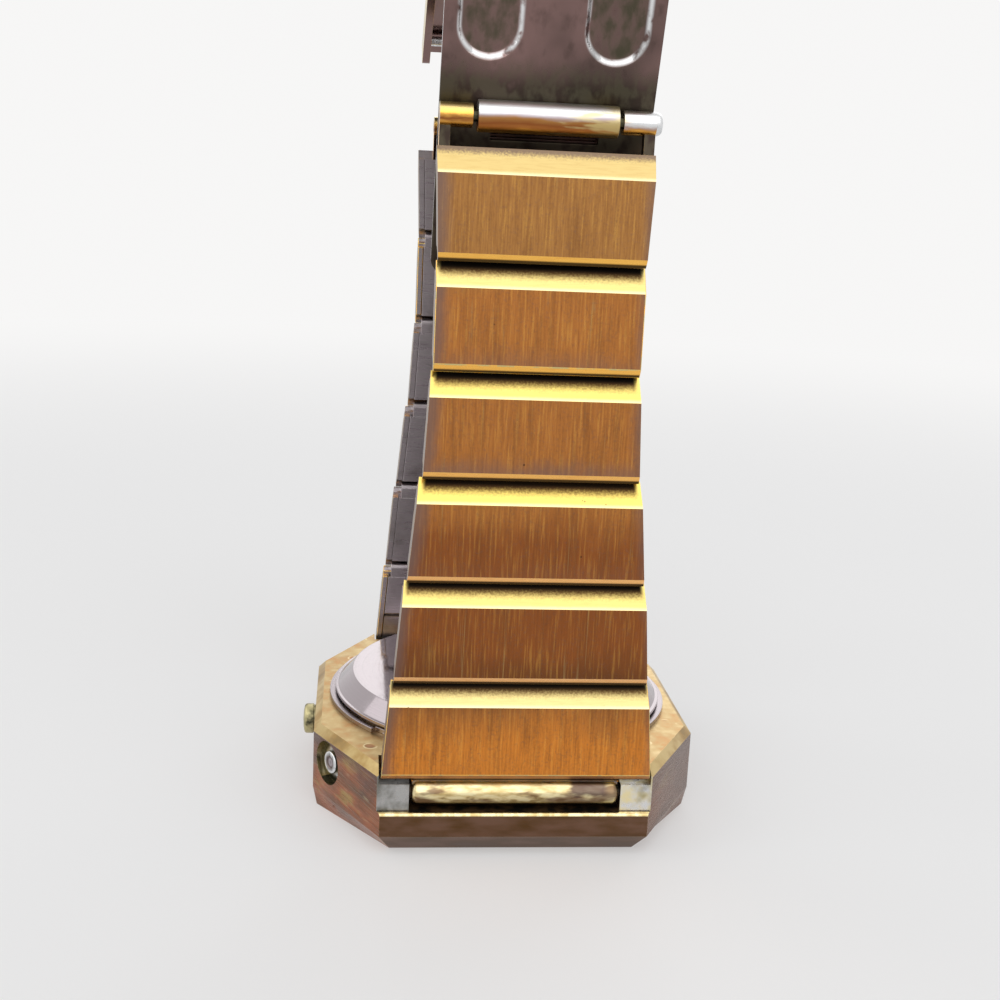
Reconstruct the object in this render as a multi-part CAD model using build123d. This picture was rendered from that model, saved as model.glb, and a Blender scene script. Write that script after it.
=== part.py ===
from build123d import *
import math
import os

# A digital wristwatch of the first generation, lying on its display with both halves of its folded-link
# bracelet standing up. Millimetres. The origin is the middle of the display face, +Z points out of the
# case back, the six o'clock end is at -Y and the push buttons are on the -X side.

# Case
case_width = 36.8
case_length = 40.0
end_width = 24.4
side_length = 18.2
front_bevel = 1.9
front_end_inset = 1.7
front_side_inset = 0.4
crest_height = 7.5
crest_bevel = 0.7
boss_rise = 0.7
side_wall = 3.4
end_wall = 1.3
boss_wall = 0.9
cavity_floor = 2.4
notch_width = 1.6
notch_depth = 0.8
notch_along_share = 0.3
notch_height_share = 0.3

# Lugs for the bracelet
lug_block = 2.6
lug_notch_run = 3.7
lug_drop = 0.75
lug_set = 0.5
lug_side_gap = 0.15
lug_axis_drop = 1.0
lug_axis_depth = 1.25
lug_barrel_radius = 1.25
lug_barrel_gap = 0.2
lug_floor_gap = 0.3
lug_swing_radius = 1.8
bar_radius = 0.6
bar_reach = 1.6
running_gap = 0.05

land_height = crest_height + crest_bevel
boss_height = land_height + boss_rise
lug_notch_half = end_width / 2 - lug_block
lug_notch_wall = case_length / 2 - lug_notch_run
lug_top = crest_height - lug_drop
lug_axis_height = lug_top - lug_axis_drop
lug_notch_floor = lug_axis_height - lug_barrel_radius - lug_floor_gap
# The bore is as wide as the end walls and the side walls both leave room for
bore_radius = min(lug_notch_wall - end_wall, case_width / 2 - side_wall)
boss_radius = bore_radius + boss_wall

# Case back
back_rise = 1.8
back_flange = 0.3
flange_overhang = 0.6
flange_step = 0.3
back_bevel_width = 1.4
back_wall = 1.0
back_skirt_depth = 1.0
skirt_gap = 0.4
step_ring_width = 1.15
step_ring_height = 0.45
step_ring_gap = 0.05
pry_notch_width = 1.5
pry_notch_depth = 0.6
pry_notch_angle = 223.0
gasket_height = 0.55
gasket_gap = 0.05

back_height = boss_height + back_rise
back_flange_radius = boss_radius + flange_overhang
back_bevel_radius = back_flange_radius - flange_step
back_top_radius = back_bevel_radius - back_bevel_width
back_skirt_radius = bore_radius - skirt_gap
step_ring_radius = boss_radius + step_ring_width

# Display window and module
window_length = 18.0
window_width = 9.0
window_ledge = 1.3
window_front = 1.0
window_bevel = 0.5
lens_gap = 0.05
lens_set = 0.3
display_end_gap = 2.0
display_side_gap = 1.3
display_height = 1.0
board_gap = 0.1
board_height = 0.8
holder_gap = 0.2
holder_wall = 1.1
holder_top_gap = 0.5
chip_side_share = 0.412
chip_offset_share = 0.559
chip_height = 1.1
crystal_radius = 1.05
crystal_length = 6.0
crystal_offset_share = 0.544
cell_gap = 0.6
cell_edge = 1.8
strap_height = 0.2
strap_width = 5.0
strap_overlap = 3.4
strap_gap = 0.8
blade_width = 1.2
blade_thickness = 0.2
blade_set = 0.4

lens_back = cavity_floor - lens_set
holder_radius = bore_radius - holder_gap
board_radius = holder_radius - holder_wall - board_gap
board_low = lens_back + display_height
board_top = board_low + board_height
cell_radius = (holder_radius - holder_wall - cell_edge - cell_gap / 2) / 2
cell_spread = cell_radius + cell_gap / 2
strap_low = back_height - back_wall - strap_gap - strap_height
blade_radius = board_radius - blade_set

# Push buttons
button_radius = 1.5
button_crest_gap = 0.8
button_proud = 1.3
button_seat = 0.9
button_travel = 0.5
button_round_share = 0.25
button_stem_radius = 0.6
clip_radius = 1.15
clip_thickness = 0.3
clip_gap = 0.05
gate_gap = 1.2
setter_along_share = 0.22
setter_recess_radius = 2.1
setter_crest_gap = 0.1
setter_recess_depth = 0.8
setter_head_radius = 1.1
setter_head_proud = 0.55
setter_travel = 0.3

button_height = crest_height - button_radius - button_crest_gap
setter_height = crest_height - setter_recess_radius - setter_crest_gap

# Bracelet links
link_pitch = 9.2
bevel_rise = 2.1
bevel_angle = 30.0
lip_set = 0.45
lip_rise = 0.7
cap_depth = 1.7
cheek_depth = 2.6
cheek_wall = 0.55
liner_depth = 2.9
liner_side_gap = 0.05
hinge_depth = 2.2
knuckle_radius = 0.65
knuckle_length = 2.2
knuckle_side_gap = 0.15
tongue_swing_radius = 0.75
lip_swing_radius = 1.12
link_end_gap = 0.95
pin_radius = 0.32
strand_set = 0.15
strand_gap = 0.35
lug_liner_relief = 0.5
lug_liner_relief_height = 3.5
lug_neck_front = 0.75
lug_neck_back = 2.1
# The links narrow from the case to the clasp, as shares of the case's end width
low_width_shares = [1.0, 0.926, 0.852, 0.766, 0.721, 0.713]
high_width_shares = [0.943, 0.869, 0.787, 0.73, 0.721, 0.742]

link_count = len(low_width_shares)
face_height = link_pitch - bevel_rise
bevel_depth = bevel_rise * math.tan(math.radians(bevel_angle))
strand_face = case_length / 2 - strand_set
strand_start = lug_top + strand_gap
width_bottom = [end_width * share for share in low_width_shares]
width_top = [end_width * share for share in high_width_shares]

# Clasp leaves
clasp_reach = 2.5
clasp_depth = 1.75
clasp_lean = 20.0
ear_knuckle_radius = 1.0
ear_knuckle_length = 2.7
ear_wall = 0.9
ear_inset = 0.15
clasp_pin_radius = 0.5
pin_head_radius = 0.95
pin_head_height = 0.5
leaf_gap = 0.4
leaf_clear = 0.9
base_thickness = 0.8
base_offset = 1.2
base_tail = 14.5
base_reach = 27.0
base_knuckle_radius = 1.3
base_corner = 1.2
window_slot_length = 9.1
window_slot_height = 1.2
oval_width = 5.4
oval_start = 4.4
oval_end_gap = 3.2
oval_edge = 1.05
oval_depth = 0.35
leaf_knuckle_radius = 1.0
leaf_knuckle_half = 4.9
leaf_knuckle_gap = 0.2
middle_length = 23.5
middle_side_gap = 1.9
middle_thickness = 0.7
middle_offset = 0.55
middle_neck = 2.4
middle_angle = 0.0
cover_length = 29.0
cover_side_gap = 0.1
cover_thickness = 0.9
cover_offset = 0.75
cover_wall = 0.8
cover_wall_depth = 3.0
cover_round_share = 0.33
cover_start = 1.5
cover_end = 2.6
cover_knuckle_gap = 0.6
cover_angle = -36.0
far_tube_gap = 0.5
far_tube_bore = 0.6

clasp_rise = link_pitch + clasp_reach
clasp_half = width_top[-1] / 2 - ear_inset
oval_spread = clasp_half - oval_edge - oval_width / 2
middle_half = clasp_half - middle_side_gap
cover_half = clasp_half - cover_side_gap
cover_knuckle_out = cover_half - cover_wall - cover_knuckle_gap
far_tube_half = cover_half - cover_wall - far_tube_gap

over = 1.0


def box(x0, x1, y0, y1, z0, z1):
    solid = Box(x1 - x0, y1 - y0, z1 - z0)
    return Pos((x0 + x1) / 2, (y0 + y1) / 2, (z0 + z1) / 2) * solid


def disc(radius, z0, z1):
    return Pos(0, 0, (z0 + z1) / 2) * Cylinder(radius, z1 - z0)


def cone(low_radius, high_radius, z0, z1):
    return Pos(0, 0, (z0 + z1) / 2) * Cone(low_radius, high_radius, z1 - z0)


def rod(radius, x0, x1, y=0.0, z=0.0):
    return Pos((x0 + x1) / 2, y, z) * Rot(0, 90, 0) * Cylinder(radius, x1 - x0)


def both_sides(solid):
    return solid + mirror(solid, about=Plane.YZ)


def side_slab(points, half_width):
    outline = make_face(Polyline(*[(0.0, y, z) for y, z in points], close=True))
    return extrude(outline, amount=half_width, dir=(1, 0, 0), both=True)


def octagon(side_inset, end_inset, z):
    hw, hl = case_width / 2 - side_inset, case_length / 2 - end_inset
    slant = math.hypot(case_width - end_width, case_length - side_length) / 2
    run, rise = (case_width - end_width) / 2 / slant, (case_length - side_length) / 2 / slant
    he = end_width / 2 - end_inset * (1 - run) / rise
    hs = side_length / 2 - side_inset * (1 - rise) / run
    corners = [(he, -hl), (hw, -hs), (hw, hs), (he, hl), (-he, hl), (-hw, hs), (-hw, -hs), (-he, -hl)]
    return make_face(Polyline(*[(x, y, z) for x, y in corners], close=True))


def octagon_layer(inset_low, z0, inset_high, z1):
    return loft([octagon(inset_low, inset_low, z0), octagon(inset_high, inset_high, z1)], ruled=True)


# The slanted wall beside the near left corner, from the side towards the end
corner_side = Vector(-case_width / 2, -side_length / 2, 0)
corner_end = Vector(-end_width / 2, -case_length / 2, 0)
slant_along = (corner_end - corner_side).normalized()
slant_outward = Vector(slant_along.Y, -slant_along.X, 0)
slant_length = (corner_end - corner_side).length


def slant_place(along_share, height):
    spot = corner_side + slant_along * (slant_length * along_share)
    return Plane(origin=(spot.X, spot.Y, height), z_dir=slant_outward)


def side_place():
    return Plane(origin=(-case_width / 2, 0, button_height), z_dir=(-1, 0, 0))


def peg(place, radius, low, high):
    return place * Pos(0, 0, (low + high) / 2) * Cylinder(radius, high - low)


def depth_to_round(place, radius, margin=0.0):
    spot = Vector(place.origin.X, place.origin.Y, 0)
    straight = spot.dot(place.z_dir)
    aside = abs(spot.X * place.z_dir.Y - spot.Y * place.z_dir.X) + margin
    return straight - math.sqrt(radius ** 2 - aside ** 2)


def stem_reach(place, travel):
    return depth_to_round(place, blade_radius) - travel - clip_gap


def flat_trim(solid):
    return solid & box(-case_width, case_width, -lug_notch_wall, lug_notch_wall, -over, back_height + over)


def lug_notch():
    low_y, high_y = -case_length / 2 - over, -lug_notch_wall
    gap = box(-lug_notch_half, lug_notch_half, low_y, high_y, lug_notch_floor, back_height + over)
    shelf_half = end_width / 2 + lug_side_gap
    shelf = box(-shelf_half, shelf_half, low_y, high_y, lug_top, back_height + over)
    step = box(-case_width, case_width, low_y, -case_length / 2 + lug_set, lug_notch_floor, lug_top + over)
    reach = lug_notch_half + bar_reach
    y = -strand_face + lug_axis_depth
    holes = rod(bar_radius + running_gap, -reach, reach, y, lug_axis_height)
    return gap + shelf + step + holes


def window_mouth():
    low = Rectangle(window_length + 2 * window_bevel, window_width + 2 * window_bevel)
    return loft([low, Pos(0, 0, window_bevel) * Rectangle(window_length, window_width)])


def corner_notches():
    cuts = []
    for mirrored in (False, True):
        place = slant_place(notch_along_share, front_bevel * notch_height_share)
        side = notch_width / math.sqrt(2)
        cut = place * Rot(0, 0, 45) * Box(side, side, notch_depth)
        cuts.append(mirror(cut, about=Plane.YZ) if mirrored else cut)
    return cuts


def case_body():
    body = loft([octagon(front_side_inset, front_end_inset, 0), octagon(0, 0, front_bevel)], ruled=True)
    body += octagon_layer(0, front_bevel, 0, crest_height)
    body += octagon_layer(0, crest_height, crest_bevel, land_height)
    body += flat_trim(disc(boss_radius, land_height, boss_height))
    body -= disc(bore_radius, cavity_floor, boss_height + over)
    body -= box(-window_length / 2, window_length / 2, -window_width / 2, window_width / 2, -over, cavity_floor)
    body -= window_mouth()
    ledge_x, ledge_y = window_length / 2 + window_ledge, window_width / 2 + window_ledge
    body -= box(-ledge_x, ledge_x, -ledge_y, ledge_y, window_front, cavity_floor)
    near = lug_notch()
    body -= near
    body -= Rot(0, 0, 180) * near
    seat = side_place()
    body -= peg(seat, button_radius + running_gap, -button_seat, over)
    body -= peg(seat, button_stem_radius + running_gap, -depth_to_round(seat, bore_radius) - over, over)
    recess = slant_place(setter_along_share, setter_height)
    body -= peg(recess, setter_recess_radius, -setter_recess_depth, over)
    body -= peg(recess, button_stem_radius + running_gap, -depth_to_round(recess, bore_radius) - over, over)
    for cut in corner_notches():
        body -= cut
    return body


def case_back():
    bevel_foot = boss_height + back_flange
    plate = disc(back_flange_radius, boss_height, bevel_foot)
    plate += cone(back_bevel_radius, back_top_radius, bevel_foot, back_height)
    plate += disc(back_skirt_radius, boss_height - back_skirt_depth, boss_height)
    plate -= disc(back_skirt_radius - back_wall, boss_height - back_skirt_depth - over, back_height - back_wall)
    return flat_trim(plate)


def back_ring():
    top = land_height + step_ring_height
    ring = disc(step_ring_radius, land_height, top) - disc(boss_radius + step_ring_gap, land_height, top)
    pry = Pos(step_ring_radius, 0, top) * Box(2 * pry_notch_depth, pry_notch_width, 2 * over)
    ring -= Rot(0, 0, pry_notch_angle) * pry
    return flat_trim(ring)


def back_gasket():
    top = boss_height
    low = top - gasket_height
    return disc(bore_radius - gasket_gap, low, top) - disc(back_skirt_radius + gasket_gap, low, top)


def ruby_lens():
    half_x, half_y = window_length / 2 - lens_gap, window_width / 2 - lens_gap
    pane = box(-half_x, half_x, -half_y, half_y, 0, window_front)
    rim_x, rim_y = half_x + window_ledge, half_y + window_ledge
    return pane + box(-rim_x, rim_x, -rim_y, rim_y, window_front, lens_back)


def led_display():
    half_x, half_y = window_length / 2 - display_end_gap, window_width / 2 - display_side_gap
    return box(-half_x, half_x, -half_y, half_y, lens_back, board_low)


def module_holder():
    top = boss_height - back_skirt_depth - holder_top_gap
    ring = disc(holder_radius, cavity_floor, top) - disc(holder_radius - holder_wall, cavity_floor, top)
    for place in (side_place(), slant_place(setter_along_share, setter_height)):
        ring -= peg(place, clip_radius + gate_gap, -case_width / 2, 0)
    return ring


def circuit_board():
    return disc(board_radius, board_low, board_top)


def driver_chip():
    y = board_radius * chip_offset_share
    half = board_radius * chip_side_share / 2
    return box(-half, half, y - half, y + half, board_top, board_top + chip_height)


def quartz_crystal():
    half = crystal_length / 2
    return rod(crystal_radius, -half, half, -board_radius * crystal_offset_share, board_top + crystal_radius)


def button_cells():
    cells = []
    for x in (-cell_spread, cell_spread):
        cells.append(Pos(x, 0, 0) * disc(cell_radius, board_top, strap_low))
    return Compound(children=cells)


def battery_strap():
    half = cell_spread + strap_overlap
    return box(-half, half, -strap_width / 2, strap_width / 2, strap_low, strap_low + strap_height)


def contact_blade(place):
    face = depth_to_round(place, blade_radius)
    middle = place * Pos(0, 0, -face - blade_thickness / 2)
    blade = middle * Box(blade_width, blade_width, blade_thickness)
    tall = place.origin.Z - board_top
    turn = Rot(0, 0, math.degrees(math.atan2(place.z_dir.Y, place.z_dir.X)))
    spot = middle.position
    post = Pos(spot.X, spot.Y, board_top + tall / 2) * turn * Box(blade_thickness, blade_width, tall)
    return blade + post


def switch_contacts():
    setter = slant_place(setter_along_share, setter_height)
    return Compound(children=[contact_blade(side_place()), contact_blade(setter)])


def command_button():
    place = side_place()
    inner = -button_seat + button_travel
    cap = peg(place, button_radius, inner, button_proud)
    cap = fillet(cap.edges().sort_by(Axis.X)[0], button_radius * button_round_share)
    return cap + peg(place, button_stem_radius, -stem_reach(place, button_travel), inner)


def set_pusher():
    place = slant_place(setter_along_share, setter_height)
    low = -setter_recess_depth + setter_travel
    head = peg(place, setter_head_radius, low, -setter_recess_depth + setter_head_proud)
    return head + peg(place, button_stem_radius, -stem_reach(place, setter_travel), low)


def stem_clip(place):
    face = -depth_to_round(place, bore_radius, clip_radius) - clip_gap
    ring = peg(place, clip_radius, face - clip_thickness, face)
    return ring - peg(place, button_stem_radius, face - clip_thickness - over, face + over)


def button_clip():
    return stem_clip(side_place())


def setter_clip():
    return stem_clip(slant_place(setter_along_share, setter_height))


# Link shapes are drawn with y as the depth behind the outer face and z as the height from the lower edge,
# then moved to their place on the near strand. The far strand is the same turned half round.

def plan_prism(low_width, high_width):
    corners = [(-low_width / 2, -over - lug_axis_height), (low_width / 2, -over - lug_axis_height),
               (low_width / 2, 0), (high_width / 2, link_pitch), (high_width / 2, 2 * link_pitch),
               (-high_width / 2, 2 * link_pitch), (-high_width / 2, link_pitch), (-low_width / 2, 0)]
    plan = make_face(Polyline(*[(x, 0.0, z) for x, z in corners], close=True))
    return extrude(plan, amount=case_length, dir=(0, 1, 0), both=True)


def link_cap(index):
    low, high = width_bottom[index], width_top[index]
    outline = [(lip_set, 0), (0, lip_rise), (0, face_height), (bevel_depth, link_pitch),
               (cap_depth, link_pitch), (cap_depth, 0)]
    body = side_slab(outline, low) & plan_prism(low, high)
    cheek = side_slab([(cap_depth, link_end_gap), (cap_depth, link_pitch - link_end_gap),
                       (cheek_depth, link_pitch - link_end_gap), (cheek_depth, link_end_gap)], low)
    cheek = cheek & plan_prism(low, high)
    cheek -= plan_prism(low - 2 * cheek_wall, high - 2 * cheek_wall)
    body += cheek
    if index > 0:
        body -= rod(lip_swing_radius, -low, low, hinge_depth, 0)
    if index < link_count - 1:
        body -= rod(tongue_swing_radius, -low, low, hinge_depth, link_pitch)
    return body


def hinge_half(joint_width):
    return joint_width / 2 - cheek_wall - liner_side_gap


def link_liner(index):
    low, high = width_bottom[index], width_top[index]
    trim = 2 * (cheek_wall + liner_side_gap)
    inner = liner_depth
    bottom = link_end_gap
    top = link_pitch - link_end_gap
    outline = [(cap_depth, bottom), (cap_depth, top), (inner, top), (inner, bottom)]
    if index == 0:
        shallow = liner_depth - lug_liner_relief
        outline = [(cap_depth, bottom), (cap_depth, top), (inner, top),
                   (inner, lug_liner_relief_height + lug_liner_relief),
                   (shallow, lug_liner_relief_height), (shallow, bottom)]
    body = side_slab(outline, low) & plan_prism(low - trim, high - trim)
    if index > 0:
        half = hinge_half(low) - knuckle_length - knuckle_side_gap
        body += rod(knuckle_radius, -half, half, hinge_depth, 0)
        body += box(-half, half, cap_depth, hinge_depth + knuckle_radius, 0, bottom)
        body -= rod(pin_radius, -half - over, half + over, hinge_depth, 0)
    if index < link_count - 1:
        outer = hinge_half(width_bottom[index + 1])
        knuckle = rod(knuckle_radius, outer - knuckle_length, outer, hinge_depth, link_pitch)
        knuckle += box(outer - knuckle_length, outer, cap_depth, hinge_depth + knuckle_radius, top, link_pitch)
        knuckle -= rod(pin_radius + running_gap, 0, outer + over, hinge_depth, link_pitch)
        body += both_sides(knuckle)
    return body


def lug_cap():
    cap = link_cap(0)
    half = lug_notch_half - lug_barrel_gap
    z = lug_axis_height - strand_start
    swing = rod(lug_swing_radius, half, case_width, lug_axis_depth, z)
    cap -= both_sides(swing)
    cap += box(-half, half, lug_neck_front, lug_neck_back, z, 0)
    cap += rod(lug_barrel_radius, -half, half, lug_axis_depth, z)
    cap -= rod(bar_radius, -case_width, case_width, lug_axis_depth, z)
    return cap


def clasp_cap():
    cap = link_cap(link_count - 1)
    half = clasp_half
    ear = rod(ear_knuckle_radius, half - ear_knuckle_length, half, clasp_depth, clasp_rise)
    front, rear = clasp_depth - ear_knuckle_radius / 2, clasp_depth + ear_knuckle_radius / 2
    ear += box(half - ear_wall, half, front, rear, link_pitch - link_end_gap, clasp_rise)
    ear -= rod(clasp_pin_radius, 0, half + over, clasp_depth, clasp_rise)
    return cap + both_sides(ear)


def far_end_cap():
    cap = link_cap(link_count - 1)
    front, rear = clasp_depth - ear_knuckle_radius / 2, clasp_depth + ear_knuckle_radius / 2
    half = far_tube_half
    cap += box(-half, half, front, rear, link_pitch - link_end_gap, clasp_rise)
    cap += rod(ear_knuckle_radius, -half, half, clasp_depth, clasp_rise)
    return cap - rod(far_tube_bore, -half - over, half + over, clasp_depth, clasp_rise)


def link_pin(index):
    if index == 0:
        reach = lug_notch_half + bar_reach - running_gap
        return rod(bar_radius, -reach, reach, lug_axis_depth, lug_axis_height - strand_start)
    reach = hinge_half(width_bottom[index])
    return rod(pin_radius, -reach, reach, hinge_depth, 0)


def on_strand(solid, index, far):
    placed = Pos(0, -strand_face, strand_start + index * link_pitch) * solid
    return Rot(0, 0, 180) * placed if far else placed


# The clasp leaves are drawn flat: x across, y along the leaf from its hinge, z out of its outer side.
clasp_axis = Vector(0, -strand_face + clasp_depth, strand_start + (link_count - 1) * link_pitch + clasp_rise)


def leaf_frame(origin, angle_deg):
    angle = math.radians(angle_deg)
    along = Vector(0, math.cos(angle), math.sin(angle))
    return Plane(origin=origin, x_dir=(1, 0, 0), z_dir=Vector(1, 0, 0).cross(along))


base_frame = leaf_frame(clasp_axis, 90 + clasp_lean)
top_offset = -(base_offset + base_thickness / 2)
top_axis = base_frame.from_local_coords(Vector(0, base_reach, top_offset))
middle_frame = leaf_frame(top_axis, middle_angle)
cover_axis = middle_frame.from_local_coords(Vector(0, middle_length, 0))
cover_frame = leaf_frame(cover_axis, cover_angle)


def base_leaf():
    half = clasp_half
    outer, inner = -base_offset, -base_offset - base_thickness
    end = base_reach - leaf_knuckle_radius - leaf_clear
    plate = box(-half, half, -base_tail, base_reach, inner, outer)
    plate -= box(-leaf_knuckle_half - leaf_knuckle_gap, leaf_knuckle_half + leaf_knuckle_gap,
                 end, base_reach + over, inner - over, outer + over)
    plate = fillet(plate.edges().filter_by(Axis.Z).group_by(Axis.Y)[0], base_corner)
    plate -= box(-window_slot_length / 2, window_slot_length / 2,
                 -base_knuckle_radius - window_slot_height, -base_knuckle_radius, inner - over, outer + over)
    for x in (-oval_spread, oval_spread):
        length = base_reach - oval_end_gap - oval_start
        slot = Pos(x, oval_start + length / 2, outer - oval_depth) * Rot(0, 0, 90) * SlotOverall(length, oval_width)
        plate -= extrude(slot, amount=oval_depth + over)
    barrel_half = half - ear_knuckle_length - leaf_gap
    plate += rod(base_knuckle_radius, -barrel_half, barrel_half)
    plate -= rod(clasp_pin_radius + running_gap, -half - over, half + over)
    knuckle = rod(leaf_knuckle_radius, leaf_knuckle_half + leaf_knuckle_gap, half, base_reach, top_offset)
    knuckle -= rod(clasp_pin_radius, 0, half + over, base_reach, top_offset)
    plate -= rod(leaf_knuckle_radius, -half - over, half + over, base_reach, top_offset)
    return base_frame * (plate + both_sides(knuckle))


def middle_leaf():
    half = middle_half
    outer, inner = -middle_offset, -middle_offset - middle_thickness
    plate = box(-half, half, middle_neck, middle_length - middle_neck, inner, outer)
    plate += box(-leaf_knuckle_half, leaf_knuckle_half, 0, middle_length, inner, outer)
    for y in (0, middle_length):
        plate += rod(leaf_knuckle_radius, -leaf_knuckle_half, leaf_knuckle_half, y)
        plate -= rod(clasp_pin_radius + running_gap, -half - over, half + over, y)
    return middle_frame * plate


def cover_leaf():
    half = cover_half
    low, high = cover_offset, cover_offset + cover_thickness
    plate = box(-half, half, cover_start, cover_length + cover_end, low, high)
    wall = box(half - cover_wall, half, cover_start, cover_length + cover_end, high - cover_wall_depth, high)
    wall = fillet(wall.edges().filter_by(Axis.X).group_by(Axis.Z)[0], cover_wall_depth * cover_round_share)
    knuckle = rod(leaf_knuckle_radius, leaf_knuckle_half + leaf_knuckle_gap, cover_knuckle_out)
    knuckle += box(leaf_knuckle_half + leaf_knuckle_gap, cover_knuckle_out, 0, cover_start + cover_thickness,
                   low - cover_thickness / 2, high)
    knuckle -= rod(clasp_pin_radius, 0, half + over)
    leaf = plate + both_sides(wall) + both_sides(knuckle)
    leaf -= rod(clasp_pin_radius, -half - over, half + over, cover_length)
    return cover_frame * leaf


def clasp_pin():
    half = clasp_half
    pin = rod(clasp_pin_radius, -half, half)
    head = Pos(half, 0, 0) * Rot(0, 90, 0) * Cone(pin_head_radius, clasp_pin_radius, pin_head_height)
    head = Pos(pin_head_height / 2, 0, 0) * head
    return Pos(clasp_axis) * (pin + head)


def middle_pin():
    return base_frame * rod(clasp_pin_radius, -clasp_half, clasp_half, base_reach, top_offset)


def cover_pin():
    return cover_frame * rod(clasp_pin_radius, -cover_knuckle_out, cover_knuckle_out)


def cover_bar():
    return cover_frame * rod(clasp_pin_radius, -cover_half, cover_half, cover_length)


def pieces():
    found = {
        "case_body": case_body(), "case_back": case_back(), "back_ring": back_ring(),
        "back_gasket": back_gasket(), "ruby_lens": ruby_lens(), "led_display": led_display(),
        "module_holder": module_holder(), "circuit_board": circuit_board(), "driver_chip": driver_chip(),
        "quartz_crystal": quartz_crystal(), "button_cells": button_cells(), "battery_strap": battery_strap(),
        "switch_contacts": switch_contacts(), "command_button": command_button(),
        "button_clip": button_clip(), "set_pusher": set_pusher(), "setter_clip": setter_clip(),
        "base_leaf": base_leaf(), "middle_leaf": middle_leaf(), "cover_leaf": cover_leaf(),
        "clasp_pin": clasp_pin(), "middle_pin": middle_pin(), "cover_pin": cover_pin(),
        "cover_bar": cover_bar(),
    }
    for strand in ("near", "far"):
        far = strand == "far"
        for index in range(link_count):
            cap = link_cap(index)
            if index == 0:
                cap = lug_cap()
            if index == link_count - 1:
                cap = far_end_cap() if far else clasp_cap()
            name = f"{strand}_link_{index + 1}"
            found[f"{name}_cap"] = on_strand(cap, index, far)
            found[f"{name}_liner"] = on_strand(link_liner(index), index, far)
            found[f"{name}_pin"] = on_strand(link_pin(index), index, far)
    return found


os.makedirs("parts", exist_ok=True)
print("clasp axis", clasp_axis, "top axis", top_axis, "cover axis", cover_axis)
print("cover bar", cover_frame.from_local_coords(Vector(0, cover_length, 0)))
for node, shape in pieces().items():
    export_step(shape, f"parts/{node}.step")
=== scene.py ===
"""Looks for an octagonal LED wristwatch that lies on its display, with its clasp open.

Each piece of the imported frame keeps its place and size, and gets rounded edges and its own finish. Finishes
read the place on the watch in millimetres: the strands stand up along Z, six o'clock is at -Y.
"""

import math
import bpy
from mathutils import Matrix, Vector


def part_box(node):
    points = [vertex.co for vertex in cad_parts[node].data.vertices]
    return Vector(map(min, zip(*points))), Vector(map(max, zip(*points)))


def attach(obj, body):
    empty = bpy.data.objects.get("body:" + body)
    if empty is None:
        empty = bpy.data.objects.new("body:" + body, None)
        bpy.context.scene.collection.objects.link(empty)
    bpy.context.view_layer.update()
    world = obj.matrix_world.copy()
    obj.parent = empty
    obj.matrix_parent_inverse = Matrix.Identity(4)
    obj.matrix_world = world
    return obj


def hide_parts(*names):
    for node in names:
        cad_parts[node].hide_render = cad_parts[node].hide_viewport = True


bl_info = {
    "name": "LED Watch Looks",
    "version": (1, 0, 0),
    "blender": (4, 5, 0),
    "location": "View3D > Sidebar > LED Watch",
    "description": "Finishes, rounded edges and small parts for an octagonal LED wristwatch",
    "category": "Object",
}

import bmesh
import bpy
from mathutils import Matrix, Vector

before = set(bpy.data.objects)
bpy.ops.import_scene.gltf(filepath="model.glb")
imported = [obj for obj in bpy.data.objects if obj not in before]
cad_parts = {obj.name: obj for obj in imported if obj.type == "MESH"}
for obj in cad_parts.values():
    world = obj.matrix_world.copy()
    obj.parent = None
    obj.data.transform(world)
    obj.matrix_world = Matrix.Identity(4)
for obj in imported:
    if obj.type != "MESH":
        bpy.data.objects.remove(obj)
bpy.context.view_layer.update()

# Everything on the watch is in millimetres
mm = 0.001

# Strands: the way each looks along Y, number of links, their pitch, foot of link 1
strands = {"near": -1, "far": 1}
link_count, link_pitch, strand_start = 6, 9.2, 7.1
# Half the width at the foot, and how much less that is over how great a height
strand_half, strand_taper, taper_height = 12.2, 3.4, 38
# Heights where the shell of a cap starts, where its clasp hinge starts, and that hinge's tubes
cap_foot, hinge_foot, ear_foot = 6.95, 62.4, 63.7
# Hinge on the case: distance from the middle, height, half length, radius
lug_out, lug_up, lug_half, lug_radius = 18.6, 5.75, 9.4, 1.25
# Tones of each brushed face at three shares of its height, from the case to the clasp
tone_spots = (0.03, 0.4, 0.74)
link_tones = (("amber", "amber", "gold"), ("umber", "brown", "brown"), ("brown", "brown", "gold"),
              ("gold",) * 3, ("gold",) * 3, ("khaki",) * 3)

# Case: its reach, and how much a brushed stroke falls for each millimetre round it
case_reach, brush_fall = 19, 0.09
# Notches for the strands: half width, start, floor
notch_half, notch_start, notch_floor = 9.61, 16.2, 4
# Window of the display: half width, half height, depth
window_half, window_tall, window_deep = 9.7, 5.2, 1.2
# Heights where the crest and the flat back start
crest_foot, back_foot = 7.5, 8
# Along Y: the end walls, the blocks beside the lugs from start to end, the end lip; height of that lip
end_wall, block_start, block_end, lip_out, lip_up = 18.5, 19, 19.7, 19.9, 4.2
# Setting pusher: middle of its mouth, the way it looks, radius of its well
pusher_spot, pusher_out, well_radius = Vector((-17.037, -11.498, 5.3)), Vector((-0.8692, -0.4944, 0)), 2.3
# Push button: its seat along X, height, radii of stem and head, depth of its crown
seat, button_up, stem, head, crown = -18.4, 5.2, 0.6, 1.5, 0.12

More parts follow.
